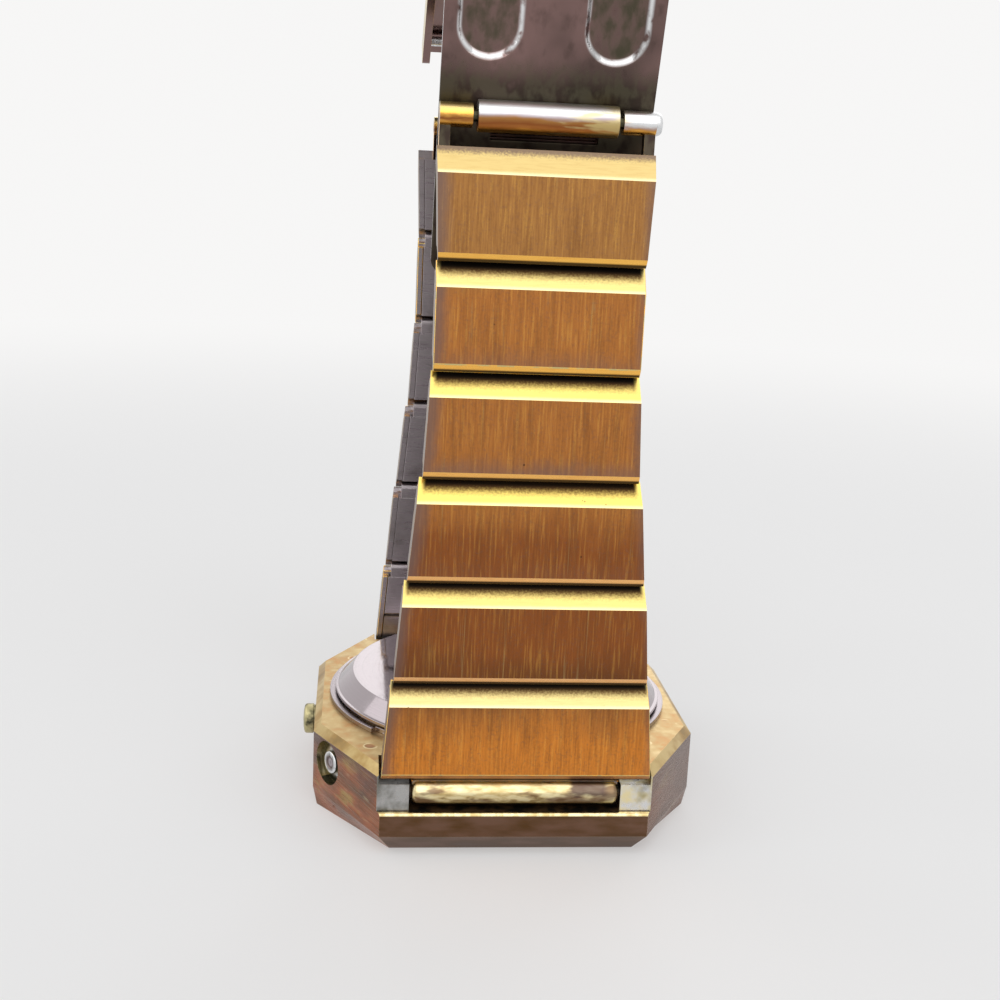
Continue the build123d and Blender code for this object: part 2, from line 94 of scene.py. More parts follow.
# Clasp: first hinge, where the base leaf points and looks, where the cover leaf looks, half width
clasp_axis = Vector((0, -18.1, 64.8))
base_lean, cover_lean = math.radians(110), math.radians(36)
leaf_along = Vector((0, math.cos(base_lean), math.sin(base_lean)))
leaf_out = Vector((0, -math.sin(base_lean), math.cos(base_lean)))
cover_out = Vector((0, math.sin(cover_lean), math.cos(cover_lean)))
leaf_half = 8.9
# Base leaf: its tail and end from the hinge, its outer side, sheet, round corners, size of a mesh cell
tail, leaf_end, outer_side, sheet, tail_round, cell = -14.5, 26.1, -1.2, 0.8, 1.2, 0.18
# Its catch slot and the gap between its end tubes
slot_low, slot_high, slot_half, gap_low, gap_half = -2.4, -1.4, 4.55, 25.1, 5.1
# Its pressed ovals: distance from the middle line, middle, straight half, half width
oval_spread, oval_middle, oval_straight, oval_half = 5.15, 13.9, 7, 2.75

# Bars of a digit, from where to where, and the lit bars of each digit with its place
bar_ends = {"a": ((-1, 1), (1, 1)), "b": ((1, 1), (1, 0)), "c": ((1, 0), (1, -1)), "d": ((-1, -1), (1, -1)),
            "e": ((-1, 0), (-1, -1)), "f": ((-1, 1), (-1, 0)), "g": ((-1, 0), (1, 0))}
lit_digits = ((-4.7, "bc"), (-1.9, "abcdef"), (1.9, "abcdef"), (4.7, "abcdefg"))

# Stage: reach of the floor, where its glow starts and is full, shades of floor, backdrop and sky
floor_reach, glow_start, glow_end = 2000, 120, 420
floor_shade, backdrop_shade = (0.84, 0.835, 0.83), (0.93, 0.925, 0.92)
sky_shade, sky_strength = (0.95, 0.97, 1), 0.46
# Lamps: name, place and width in metres, power in watts
lamps = (("key", (0.06, -0.62, 0.62), 1.2, 4.4), ("left", (-0.75, 0.05, 0.6), 0.8, 1.4),
         ("back", (0.35, 0.85, 0.6), 0.9, 2.2))
lamp_aim = Vector((0, 0, 0.04))
# Camera: sensor, focal length and picture in pixels, place; pitch, yaw and roll in degrees
sensor, focal_pixels, picture_pixels = 36, 1419.656, 1000
camera_place, camera_turn = Vector((-15.272, -137.414, 60.353)), (12.972, 6.112, 2.666)


def srgb(*values):
    """A colour as a picture shows it, 0 to 255, turned into scene light."""
    return tuple(((v / 255 + 0.055) / 1.055) ** 2.4 if v > 10 else v / 255 / 12.92 for v in values)


def colour(name, red, green, blue, words):
    return bpy.props.FloatVectorProperty(
        name=name, description=words, default=srgb(red, green, blue), subtype="COLOR", min=0, max=1)


def size(name, millimetres, words):
    return bpy.props.FloatProperty(
        name=name, description=words, default=millimetres * mm, unit="LENGTH", min=0)


class WatchColours(bpy.types.PropertyGroup):
    link_amber: colour("Link amber", 218, 136, 58, "Warmest brushed faces")
    link_gold: colour("Link gold", 177, 114, 59, "Brushed faces of the links")
    link_khaki: colour("Link khaki", 166, 117, 66, "Brushed faces near the clasp")
    link_brown: colour("Link brown", 146, 86, 46, "Darker brushed faces")
    # Link umber is also the painted shade on the right-hand case wall
    link_umber: colour("Link umber", 112, 70, 42, "Darkest brushed faces")
    worn_edge: colour("Worn edge", 118, 98, 92, "Plating worn to purple grey")
    bevel_gold: colour("Bevel gold", 208, 190, 130, "Polished bevel on top of each link")
    bevel_yellow: colour("Bevel yellow", 226, 200, 96, "Polished bevels half way up")
    # Painted highlight along the foot of each bevel
    bevel_foot_highlight: colour("Bevel pale", 255, 247, 206, "Foot of each bevel")
    lip_gold: colour("Lip gold", 255, 196, 96, "Polished lips of the links")
    lip_rose: colour("Lip rose", 255, 200, 146, "Polished lips near the case")
    case_gold: colour("Case gold", 174, 142, 88, "Worn plating of the case")
    crest_gold: colour("Crest gold", 202, 178, 124, "Rubbed bevel round the back")
    wall_copper: colour("Wall copper", 168, 106, 76, "Base metal that shows on the walls")
    bright_brass: colour("Bright brass", 236, 222, 176, "Polished edges of the case")
    # Pit brown is also the browner part of the painted shade on the link bevels
    pit_brown: colour("Pit brown", 92, 66, 40, "Pits and dirt")
    end_bronze: colour("End bronze", 116, 88, 72, "Polished end walls, stained dark")
    button_gold: colour("Button gold", 190, 180, 136, "Push button")
    steel: colour("Steel", 222, 223, 224, "Polished steel")
    back_steel: colour("Back steel", 172, 162, 166, "Mirror polish of the case back")
    grey_steel: colour("Grey steel", 150, 148, 144, "Brushed steel of the liners and pins")
    leaf_steel: colour("Leaf steel", 130, 104, 100, "Polished steel of the clasp leaves")
    leaf_dark: colour("Leaf dark", 98, 80, 76, "Stained parts of the clasp leaves")
    # Grime is also the painted shade on the clasp pin's shaft
    grime: colour("Grime", 74, 72, 56, "Greenish grime in corners")
    soot: colour("Soot", 30, 25, 20, "Deep dirt and shadow lines")
    ruby: colour("Ruby", 150, 8, 22, "Ruby filter over the display")
    lit_red: colour("Lit red", 255, 40, 24, "Lit segments of the display")
    black: colour("Black", 22, 20, 22, "Display, chip and seal")
    cream: colour("Cream", 206, 198, 172, "Moulded module holder")
    board_green: colour("Board green", 40, 84, 54, "Circuit board")
    contact_gold: colour("Contact gold", 204, 172, 96, "Spring contacts")


class WatchSizes(bpy.types.PropertyGroup):
    case_round: size("Case rounding", 0.28, "Rounding of the edges of the case")
    link_round: size("Link rounding", 0.07, "Rounding of the edges of the links")
    leaf_round: size("Leaf rounding", 0.12, "Rounding of the edges of the clasp leaves")
    lip_round: size("Lip rounding", 0.32, "Rounding of the bright lip on top of each end wall")
    small_round: size("Small rounding", 0.05, "Rounding of pins, rings and small parts")
    oval_press: size("Oval press", 0.45, "How deep the two ovals are pressed into the base leaf")
    digit_height: size("Digit height", 3.2, "Height of a digit on the display")


def sizes():
    return bpy.context.scene.watch_sizes


class Socket:
    """A node's socket, on which shader maths is written as plain expressions."""

    def __init__(self, nodes, socket):
        self.nodes, self.socket = nodes, socket

    def math(self, operation, first, second=0):
        return self.nodes.node("Math", {0: first, 1: second}, operation=operation)

    def __add__(self, other):
        return self.math("ADD", self, other)

    def __sub__(self, other):
        return self.math("SUBTRACT", self, other)

    def __rsub__(self, other):
        return self.math("SUBTRACT", other, self)

    def __mul__(self, other):
        return self.math("MULTIPLY", self, other)

    def __truediv__(self, other):
        return self.math("DIVIDE", self, other)

    def __abs__(self):
        return self.math("ABSOLUTE", self)

    __radd__, __rmul__ = __add__, __mul__

    def vector(self, operation, other=(0, 0, 0), out=0):
        return self.nodes.node("VectorMath", {0: self, 1: other}, out, operation=operation)

    def times(self, vector):
        return self.vector("MULTIPLY", vector)

    def plus(self, vector):
        return self.vector("ADD", vector)

    def length(self):
        return self.vector("LENGTH", out="Value")

    def part(self, axis):
        return self.nodes.node("SeparateXYZ", {0: self}, axis)

    def most(self, other):
        return self.math("MAXIMUM", self, other)

    def rise(self, low, high):
        """0 below low and 1 above high, smooth between."""
        values = {"Value": self, "From Min": low, "From Max": high}
        return self.nodes.node("MapRange", values, interpolation_type="SMOOTHSTEP")

    def peak(self, centre, half):
        """1 at the centre value and 0 further off than half."""
        return 1 - abs(self - centre).rise(0, half)


class Nodes:
    """A node tree, filled node by node."""

    def __init__(self, owner):
        owner.use_nodes = True
        self.tree = owner.node_tree

    def node(self, kind, values, out=0, **settings):
        """Makes a node with its settings and the values of its inputs, and gives one output."""
        made = self.tree.nodes.new("ShaderNode" + kind)
        for key, value in settings.items():
            setattr(made, key, value)
        for key, value in values.items():
            self.feed(made.inputs[key], value)
        return Socket(self, made.outputs[out])

    def feed(self, socket, value):
        if isinstance(value, Socket):
            self.tree.links.new(value.socket, socket)
        elif socket.type == "RGBA":
            socket.default_value = (*value[:3], 1)
        else:
            socket.default_value = value

    def surface(self, output, share, first, second):
        """Sends two shaders to an output, mixed by a share."""
        mixed = self.node("MixShader", {0: share, 1: first, 2: second})
        self.feed(self.tree.nodes[output].inputs["Surface"], mixed)

    def seen(self):
        """1 where the background itself is seen: by the camera, in a reflection or through glass."""
        camera, glossy, through = (self.node("LightPath", {}, f"Is {ray} Ray")
                                   for ray in ("Camera", "Glossy", "Transmission"))
        return camera.most(glossy).most(through)


class Paint(Nodes):
    """One material, which reads the place on the watch in millimetres."""

    def __init__(self, name, **constants):
        self.material = bpy.data.materials.new(name)
        super().__init__(self.material)
        self.shader = self.tree.nodes["Principled BSDF"]
        self.set(**constants)
        self.place = self.node("TexCoord", {}, "Object").times((1 / mm,) * 3)

    def set(self, **values):
        for key, value in values.items():
            self.feed(self.shader.inputs[key.replace("_", " ")], value)

    def axes(self, names):
        return [self.place.part(name) for name in names]

    def flat(self, first, second):
        """A place made of two lengths."""
        return self.node("CombineXYZ", {0: first, 1: second})

    def noise_at(self, spot, detail):
        return self.node("TexNoise", {"Vector": spot, "Scale": 1, "Detail": detail})

    def noise(self, per_mm, detail=2, seed=0, place=None):
        """Noise with so many waves a millimetre, one number for all axes or one for each."""
        waves = per_mm if isinstance(per_mm, (tuple, Vector)) else (per_mm,) * 3
        return self.noise_at((place or self.place).times(waves).plus((seed,) * 3), detail)

    def pits(self, per_mm, seed=0):
        """How far the place is from the middle of the nearest cell."""
        spot = self.place.times((per_mm,) * 3).plus((seed,) * 3)
        return self.node("TexVoronoi", {"Vector": spot, "Scale": 1})

    def from_clasp(self, direction):
        """How far the place is from the clasp's first hinge in a direction."""
        return self.place.plus(-clasp_axis).vector("DOT_PRODUCT", direction, "Value")

    def ramp(self, share, *stops):
        """A colour read between stops, each a share and a colour."""
        read = self.node("ValToRGB", {"Fac": share})
        elements = read.socket.node.color_ramp.elements
        for i, (spot, shade) in enumerate(stops):
            stop = elements[i] if i < 2 else elements.new(spot)
            stop.position, stop.color = spot, (*shade[:3], 1)
        return read

    def mix(self, share, first, second):
        return self.node("Mix", {0: share, 6: first, 7: second}, 2, data_type="RGBA")

    def layers(self, shade, *layers):
        """A colour with others laid over it in turn, each a share and a colour."""
        for share, over in layers:
            shade = self.mix(share, shade, over)
        return shade

    def coat(self, roughness, shade, *layers):
        self.set(Base_Color=self.layers(shade, *layers), Roughness=roughness)

    def bump(self, height, depth, strength):
        """Adds a bump where a height of 1 stands so many millimetres proud."""
        values = {"Strength": strength, "Distance": depth * mm, "Height": height}
        self.set(Normal=self.node("Bump", values, "Normal"))


finishes = {}


def finish(painter, name=None, **constants):
    """The getter of a painter's material, which is made once, under its name."""
    name = name or painter.__name__

    def get():
        if name not in finishes:
            paint = Paint(name, **constants)
            painter(paint, bpy.context.scene.watch_colours)
            finishes[name] = paint.material
        return finishes[name]
    return get


def metal(painter, name=None):
    return finish(painter, name, Metallic=1)


def half_width(up):
    """About half the width of a strand at a height."""
    return strand_half - (up - strand_start).rise(0, taper_height) * strand_taper


def above_foot(up):
    """How far a height is above the foot of its link."""
    return up.math("MODULO", up - strand_start, link_pitch)


def brushed(paint, gold, c, lengthwise):
    """Fine short hairs, faint long bands and grain on a brushed face: gives the colour and the height."""
    fast, slow = Vector((5, 0, 0)), Vector(lengthwise)
    hair = paint.noise(fast + slow * 0.24, 3)
    fleck = paint.noise(fast * 1.8 + slow * 1.1, 2, 4)
    band = paint.noise(fast * 0.3 + slow * 0.12, 3, 7)
    grain = paint.noise(4.5, 3, 2)
    line = paint.noise(fast * 0.7 + slow * 0.03, 0, 11).peak(0.5, 0.02)
    gold = paint.layers(
        gold, (hair.rise(0.48, 0.7) * 0.28, c.link_umber), ((1 - hair).rise(0.5, 0.7) * 0.2, c.lip_gold),
        (fleck.rise(0.48, 0.78) * 0.34, c.link_umber),
        ((band + grain * 0.3).rise(0.56, 0.9) * 0.4, c.link_umber),
        (grain.rise(0.5, 0.8) * 0.2, c.worn_edge), (line * band.rise(0.5, 0.6) * 0.16, c.bevel_gold))
    return gold, hair + fleck * 0.6 + grain * 0.3


@metal
def link_face(paint, c):
    """Brushed, in other tones from link to link, worn along its sides and on the feet of links 4 and 5."""
    across, up = paint.axes("XZ")
    cloud = paint.noise((0.16, 0.16, 0.22), 2, 3)
    rub = paint.noise((1.2, 1.2, 0.6), 3, 5)
    stops = [((k + spot) / link_count, getattr(c, f"link_{tone}"))
             for k, tones in enumerate(link_tones) for spot, tone in zip(tone_spots, tones)]
    share = (up - strand_start + (cloud - 0.5) * 5) / (link_pitch * link_count)
    gold, hair = brushed(paint, paint.ramp(share, *stops), c, (0, 0, 1))
    worn = (abs(across) - across * 0.03 - half_width(up) + 1.1 + rub * 0.7).rise(0.1, 1.7) * 0.75
    foot = (1 - (above_foot(up) + (rub + cloud) * 1.6).rise(1.8, 4.2)) * up.peak(38, 16)
    specks = 1 - paint.pits(0.22, 3).rise(0.012, 0.028)
    paint.coat(0.2 + hair * 0.1, gold, (worn.most(foot * 0.6), c.worn_edge), (specks * 0.7, c.soot))
    paint.bump(hair, 0.022, 0.7)


@metal
def link_bevel(paint, c):
    """Polished, with a painted highlight at its foot and painted shade where the next link's lip hangs over
    it.
    """
    across, up = paint.axes("XZ")
    height = above_foot(up)
    specks = (1 - paint.pits(1.3, 4).rise(0.04, 0.12)) * paint.noise(0.25, 2, 5).rise(0.52, 0.62)
    scratch = paint.noise((0.7, 6, 6), 3)
    grit = paint.noise(6, 4, 2)
    inward = (half_width(up) - abs(across) + 0.1).rise(0.1, 0.6)
    last = up.rise(59, 60)
    # Painted shade: darkens the top of each bevel where the next link's lip hangs over it, but not on the
    # last link
    shade = (height + grit * 0.6).rise(8, 8.95) * inward * (1 - last)
    gold = paint.layers(
        c.bevel_gold, (up.peak(36, 26) * 0.8, c.bevel_yellow),
        (last * 0.45 + scratch.rise(0.4, 0.75) * 0.15, c.case_gold),
        # Painted highlight: a pale line along the foot of each bevel
        ((1 - (height + grit * 0.1).rise(7.2, 7.5)) * 0.4, c.bevel_foot_highlight), (specks * 0.7, c.pit_brown),
        (last * (height + grit * 0.7).rise(8.8, 9.4) * 0.85, c.leaf_dark))
    # Colour of the painted shade: brown, going to near black right under the lip
    dark = paint.mix(height.rise(8.35, 8.85), c.pit_brown, c.soot)
    paint.coat(0.12 + scratch * 0.12 + shade * 0.4, gold, (shade, dark))
    paint.bump(scratch, 0.004, 0.5)


@metal
def link_lip(paint, c):
    """Bright above, with painted shade below where it turns under; dull on the first links."""
    up = paint.place.part("Z")
    height = above_foot(up)
    rub = paint.noise((0.5, 3, 3), 3, 9)
    # Painted shade on the lower part of each lip, where it turns under
    under = (1 - height.rise(0.2, 0.36)) * abs(height - link_pitch / 2).rise(3.5, 3.7)
    paint.coat(
        0.2 + rub * 0.15, c.lip_rose, (up.rise(14, 46), c.lip_gold),
        (rub.rise(0.5, 0.85) * 0.3, c.link_amber), ((1 - up.rise(9, 10)) * 0.7, c.link_brown),
        (under * 0.93, c.soot))


@metal
def link_side(paint, c):
    rub = paint.noise((0.9, 0.9, 0.5), 4, 2)
    paint.coat(0.28 + rub * 0.2, c.worn_edge, (0.3, c.grey_steel), (rub.rise(0.35, 0.8) * 0.6, c.case_gold))


@metal
def case_wall(paint, c):
    """Brushed round the case in strokes that fall a little, with copper patches, dark near the crest, and
    painted shade on the right-hand wall.
    """
    across, along, up = paint.axes("XYZ")
    around = across.math("ARCTAN2", across, along * -1) * case_reach
    fine, broad, fleck = [paint.noise_at(paint.flat(around * low, (up + around * brush_fall) * high), 4)
                          for low, high in ((0.4, 5), (0.16, 0.5), (0.35, 2.4))]
    patch = paint.noise((0.22, 0.22, 0.3), 4, 6)
    stops = (0.38, c.case_gold), (0.46, c.wall_copper), (0.62, c.end_bronze)
    gold = paint.ramp((patch + broad) * 0.5, *stops)
    # The last layer is painted shade, which darkens the right-hand wall
    paint.coat(
        0.16 + fine * 0.2, gold, ((up + patch * 6).rise(7.8, 10.2) * 0.8, c.leaf_dark),
        (fine.rise(0.46, 0.66) * 0.3, c.pit_brown), ((1 - fine).rise(0.56, 0.72) * 0.2, c.crest_gold),
        (fleck.rise(0.64, 0.72) * 0.25, c.bright_brass), (across.rise(4, 15) * 0.8, c.link_umber))
    paint.bump(fine + fleck * 0.6 + patch * 2, 0.09, 0.8)


@metal
def case_end(paint, c):
    rub = paint.noise((0.25, 0.4, 0.9), 4, 4)
    low = 1 - (paint.place.part("Z") + rub).rise(1.9, 3.6)
    paint.coat(
        0.1 + rub * 0.2, c.end_bronze, (rub.rise(0.35, 0.7), c.pit_brown),
        (low * rub.rise(0.5, 0.75) * 0.5, c.worn_edge))
    paint.bump(rub, 0.02, 0.5)


@metal
def case_crest(paint, c):
    rub = paint.noise(0.3, 4, 3)
    fine = paint.noise(1.6, 4, 8)
    paint.coat(
        0.2 + rub * 0.25 + fine * 0.1, c.crest_gold, ((rub + fine * 0.2).rise(0.45, 0.75), c.case_gold),
        ((rub - fine * 0.3).rise(0.42, 0.6) * 0.3, c.grime))
    paint.bump(fine, 0.03, 0.5)


@metal
def case_pitted(paint, c):
    """The flat back of the case, with patches of corroded pits, each with a bright rim."""
    small = paint.noise(0.8, 4, 2)
    patch = paint.noise(0.2, 3, 5)
    cell_out = paint.pits(0.42)
    corroded = patch.rise(0.5, 0.55)
    pit = (1 - cell_out.rise(0.14, 0.24)) * corroded
    paint.coat(
        0.24 + small * 0.25, c.crest_gold, (patch.rise(0.3, 0.7) * 0.6 + 0.3, c.case_gold),
        ((small + patch * 0.4).rise(0.64, 0.95) * 0.35, c.link_amber),
        ((1 - small).rise(0.5, 0.8) * 0.2, c.bright_brass), (small.rise(0.35, 0.8) * 0.15, c.grime),
        (cell_out.peak(0.26, 0.06) * corroded * 0.6, c.bright_brass), (pit * 0.7, c.link_brown))
    paint.bump(small - pit * 0.6, 0.05, 0.6)


@metal
def case_front(paint, c):
    fine = paint.noise((12, 0.12, 12), 2, 6)
    band = paint.noise((1.2, 0.08, 1.2), 3, 2)
    streak = fine.rise(0.35, 0.7) * 0.3 + band.rise(0.4, 0.8) * 0.3
    paint.coat(0.22 + fine * 0.1, c.crest_gold, (streak, c.contact_gold))
    paint.bump(fine + band * 0.5, 0.015, 0.6)


@metal
def bright_edge(paint, c):
    rub = paint.noise(1.2, 4, 1)
    paint.coat(0.16 + rub * 0.15, c.bright_brass, (rub.rise(0.4, 0.65), c.crest_gold))
    paint.bump(rub, 0.06, 0.6)


@metal
def link_edge(paint, c):
    rub = paint.noise(1.6, 3, 1)
    paint.coat(0.15 + rub * 0.12, c.bevel_gold, (rub.rise(0.35, 0.65), c.lip_gold))


def turned_steel(name, shade, darker, low, high):
    """Steel of a low to high roughness, with rings round Z and a few scratches."""
    def painter(paint, c):
        across, along = paint.axes("XY")
        reach = paint.place.times((1, 1, 0)).length()
        rings = paint.noise_at(paint.flat(reach * 12, (across + along) * 0.05), 3)
        slant = paint.node("VectorRotate", {"Vector": paint.place, "Rotation": (0, 0, 0.7)},
                           rotation_type="EULER_XYZ")
        line = paint.noise((0.5, 9, 1), 4, 3, slant).peak(0.5, 0.02)
        paint.coat(low + rings * (high - low) + line * 0.1, getattr(c, shade),
                   (rings.rise(0.3, 0.8) * 0.3, getattr(c, darker)))
        paint.bump(rings - line * 0.5, 0.003, 0.4)
    return metal(painter, name)


mirror_steel = turned_steel("mirror_steel", "back_steel", "grey_steel", 0.03, 0.12)
ring_steel = turned_steel("ring_steel", "back_steel", "grime", 0.14, 0.35)


@metal
def liner_steel(paint, c):
    """Folded sheet: brushed, with the two fold lines of each liner and dark stains beside them."""
    across, up = paint.axes("XZ")
    fine = paint.noise((0.3, 3, 8), 3)
    stain = paint.noise(0.35, 4, 5)
    fold = (abs(across) - half_width(up) * 0.6).peak(0, 0.16)
    paint.coat(
        0.2 + fine * 0.2, c.back_steel, (fine.rise(0.35, 0.7) * 0.5, c.grey_steel),
        ((stain + fold * 0.2).rise(0.5, 0.8) * 0.45, c.grime), (fold * 0.6, c.soot))
    paint.bump(fine * 0.1 - fold, 0.05, 0.6)


@metal
def pin_steel(paint, c):
    fine = paint.noise((9, 0.6, 0.6), 3)
    paint.coat(0.2 + fine * 0.15, c.steel, (fine.rise(0.4, 0.7) * 0.5, c.grey_steel))


@metal
def leaf_steel(paint, c):
    cloud = paint.noise((0.12, 0.12, 0.1), 3, 2)
    scratch = paint.noise((5, 5, 0.4), 4, 3)
    dirt = paint.noise((0.8, 0.8, 0.5), 5, 6).rise(0.62, 0.9)
    paint.coat(
        0.12 + cloud * 0.1 + dirt * 0.2, c.leaf_steel, (cloud.rise(0.3, 0.8) * 0.35, c.grey_steel),
        (dirt * 0.35, c.grime))
    paint.bump(scratch, 0.004, 0.4)


@metal
def base_steel(paint, c):
    """Dark polished steel: dull inside the ovals, with a painted highlight on their shoulders, grimy beside
    the hinge.
    """
    along = paint.from_clasp(leaf_along)
    beyond = (abs(along - oval_middle) - oval_straight).most(0)
    off = paint.flat(abs(paint.place.part("X")) - oval_spread, beyond).length()
    cloud = paint.noise((0.12, 0.12, 0.1), 3, 2)
    scuff = paint.noise((1, 1, 0.5), 5, 2)
    scratch = paint.noise((5, 5, 0.4), 4, 3)
    dull = paint.mix(scuff.rise(0.3, 0.75), c.grime, c.leaf_steel)
    # Painted highlight on the shoulders of the ovals
    shoulder = off.peak(2.48, 0.3) * paint.noise(0.9, 3, 9).rise(0.3, 0.5)
    near_hinge = 1 - (along + scuff * 3).rise(3.4, 6.6)
    outer = paint.from_clasp(leaf_out).rise(-1.95, -1.75)
    dirt = near_hinge.most((scuff + cloud * 0.4).rise(0.68, 1) * 0.5) * outer
    paint.coat(
        0.07 + cloud * 0.1 + dirt * 0.35, c.leaf_steel, (cloud.rise(0.4, 0.65), c.leaf_dark),
        ((1 - off.rise(2.1, 2.35)) * 0.85, dull), (shoulder, c.steel),
        (dirt * 0.8, paint.mix(scuff.rise(0.42, 0.62) * 0.8, c.grime, c.soot)))
    paint.bump(scratch + dirt * scuff * 4, 0.006, 0.5)


@metal
def lug_barrel(paint, c):
    """Pale brass above, with stains, a rubbed dark place on the right and painted shadow below."""
    across, up = paint.place.part("X"), paint.place.part("Z") - lug_up
    wear = paint.noise((0.6, 2, 2), 5, 1.5)
    patch = paint.noise((0.28, 1, 1), 3, 4)
    right = (across + wear * 2).rise(5.6, 6.4) * (1 - (across + wear).rise(8.4, 9.2))
    # Its last layer is a painted shadow along the bottom of the barrel
    paint.coat(
        0.2 + wear * 0.25, c.bright_brass, (wear.rise(0.35, 0.65), c.crest_gold),
        ((patch - up * 0.06 + wear * 0.2).rise(0.57, 0.72) * 0.8, c.end_bronze),
        ((wear - up * 0.25).rise(0.55, 0.7) * 0.6, c.pit_brown),
        (right * (up + wear).rise(0.3, 0.8) * 0.9, c.leaf_dark),
        ((1 - (up + wear * 0.8).rise(-0.7, 0.3)) * 0.85, c.soot))
    paint.bump(wear, 0.03, 0.5)


@metal
def lug_pale(paint, c):
    """The blocks beside the lug hinges, pale on the right and grey on the left."""
    rub = paint.noise(1.1, 4, 7)
    stain = paint.noise(0.35, 3, 2)
    pale = paint.mix(rub.rise(0.25, 0.7), c.steel, c.bright_brass)
    paint.coat(
        0.16 + rub * 0.3, c.grey_steel, (0.35, c.steel), (rub.rise(0.35, 0.85) * 0.5, c.grime),
        (paint.place.part("X").rise(-1, 1), pale), ((stain + rub * 0.3).rise(0.6, 0.85) * 0.6, c.grime))
    paint.bump(rub, 0.03, 0.5)


# Painted shade: near black for the notches, recesses and the hidden first pin, where shade falls
@finish
def notch_painted_shade(paint, c):
    paint.set(Metallic=0.6)
    rub = paint.noise(0.9, 4, 3)
    paint.coat(0.45 + rub * 0.2, c.soot, (rub.rise(0.4, 0.65), c.pit_brown))


@metal
def hinge_wear_and_sheen(paint, c):
    """The middle tube of the clasp hinge, banded by height: worn to silver with a painted highlight on top,
    painted reflection bands of brown and orange gold below.
    """
    rub = paint.noise((0.3, 1.8, 1.8), 4, 4)
    up = paint.place.part("Z") - clasp_axis.z + (rub - 0.5) * 0.7
    # Painted reflection and highlight: colour bands by height across the tube
    worn = paint.ramp(up * 0.36 + 0.5, (0.05, c.lip_gold), (0.16, c.link_gold), (0.3, c.link_brown),
                      (0.42, c.link_khaki), (0.54, c.back_steel), (0.64, c.steel))
    patch = (paint.place.part("X") * 0.05 + rub).rise(0.62, 0.78) * 0.7
    paint.coat(0.24 + rub * 0.2, worn, (patch, c.bevel_gold))
    paint.bump(rub, 0.01, 0.4)


@metal
def ear_wear_and_sheen(paint, c):
    """The end tubes of the clasp hinge: gold in painted reflection bands by height on the left, worn to
    silver on the right.
    """
    rub = paint.noise((0.8, 2.5, 2.5), 4, 6)
    up = paint.place.part("Z") - clasp_axis.z + (rub - 0.5) * 0.6
    # Painted reflection: bright, brown, bright and pale gold bands by height
    gold = paint.ramp(up * 0.45 + 0.5, (0.1, c.lip_gold), (0.35, c.link_brown), (0.55, c.lip_gold),
                      (0.8, c.bevel_gold))
    silver = (paint.place.part("X") + rub * 2).rise(6, 8) * up.rise(-0.6, -0.1)
    paint.coat(0.14 + rub * 0.2, gold, (silver, c.steel))
    paint.bump(rub, 0.01, 0.4)


@metal
def shaded_pin(paint, c):
    """The clasp pin, with painted shade on its shaft between the tubes, and a polished head."""
    rub = paint.noise(1.5, 3, 6)
    # Painted shade: the shaft is grime coloured with darker flecks, where the tubes shade it
    paint.coat(
        0.15 + rub * 0.25, c.grime, (paint.place.part("X").rise(8.7, 8.95), c.steel),
        (rub.rise(0.5, 0.7) * 0.5, c.soot))


@metal
def button_gold(paint, c):
    rub = paint.noise(1.1, 4, 2)
    paint.coat(0.25 + rub * 0.25, c.button_gold, (rub.rise(0.4, 0.7), c.grime))
    paint.bump(rub, 0.02, 0.5)


@metal
def setter_well(paint, c):
    """Bottom of the setting pusher's well: a steel washer in greenish grime."""
    rub = paint.noise(1.3, 4, 5)
    washer = (paint.place.vector("DISTANCE", pusher_spot, "Value") + rub * 0.2).peak(1.65, 0.35)
    steel = paint.mix(rub.rise(0.4, 0.6) * 0.6, c.steel, c.leaf_steel)
    paint.coat(0.14 + rub * 0.3, c.grime, (washer, steel))
    paint.bump(rub + washer, 0.04, 0.6)


@metal
def plunger_steel(paint, c):
    """The setting pusher's head, in rings of painted reflection and shade by distance from its middle."""
    rub = paint.noise(1.8, 4, 3)
    reach = paint.place.vector("DISTANCE", pusher_spot, "Value")
    # Painted reflection and shade: dark middle, pale ring, dark ring, bright rim
    steel = paint.ramp(reach, (0.2, c.soot), (0.45, c.back_steel), (0.6, c.leaf_dark), (0.95, c.steel))
    paint.coat(0.12 + rub * 0.25, steel, (rub.rise(0.5, 0.7) * 0.7, c.soot))


@metal
def cover_gold(paint, c):
    """Brushed lengthwise, with a polished border along both sides."""
    border = abs(paint.place.part("X")).rise(7.5, 7.62)
    cloud = paint.noise(0.14, 3, 6)
    plain = paint.mix(cloud.rise(0.2, 0.8) * 0.5, c.link_khaki, c.link_gold)
    gold, hair = brushed(paint, plain, c, (0, 1, 1))
    polished = paint.mix(hair * 0.5, c.bevel_gold, c.contact_gold)
    paint.coat(0.2 + (1 - border) * hair * 0.16, plain, (0.4, gold), (border, polished))
    paint.bump(hair * (1 - border) + border * 1.5, 0.012, 0.6)


@finish
def ruby_filter(paint, c):
    paint.set(Base_Color=c.ruby, Roughness=0.03, IOR=1.45, Transmission_Weight=0.65)


@finish
def lit_bar(paint, c):
    glow = paint.mix(paint.noise(1.5) * 0.3, c.lit_red, c.ruby)
    paint.set(Base_Color=c.ruby, Emission_Color=glow, Emission_Strength=6)


def grained(name, shade, darker, roughness, grain=2, metallic=0):
    """The finish of a moulded or cast surface, with a fine grain and slight stains."""
    def painter(paint, c):
        grit = paint.noise(grain, 4)
        paint.coat(roughness + grit * 0.15, getattr(c, shade), (grit.rise(0.35, 0.7), getattr(c, darker)))
        paint.bump(grit, 0.01, 0.5)
    return finish(painter, name, Metallic=metallic)


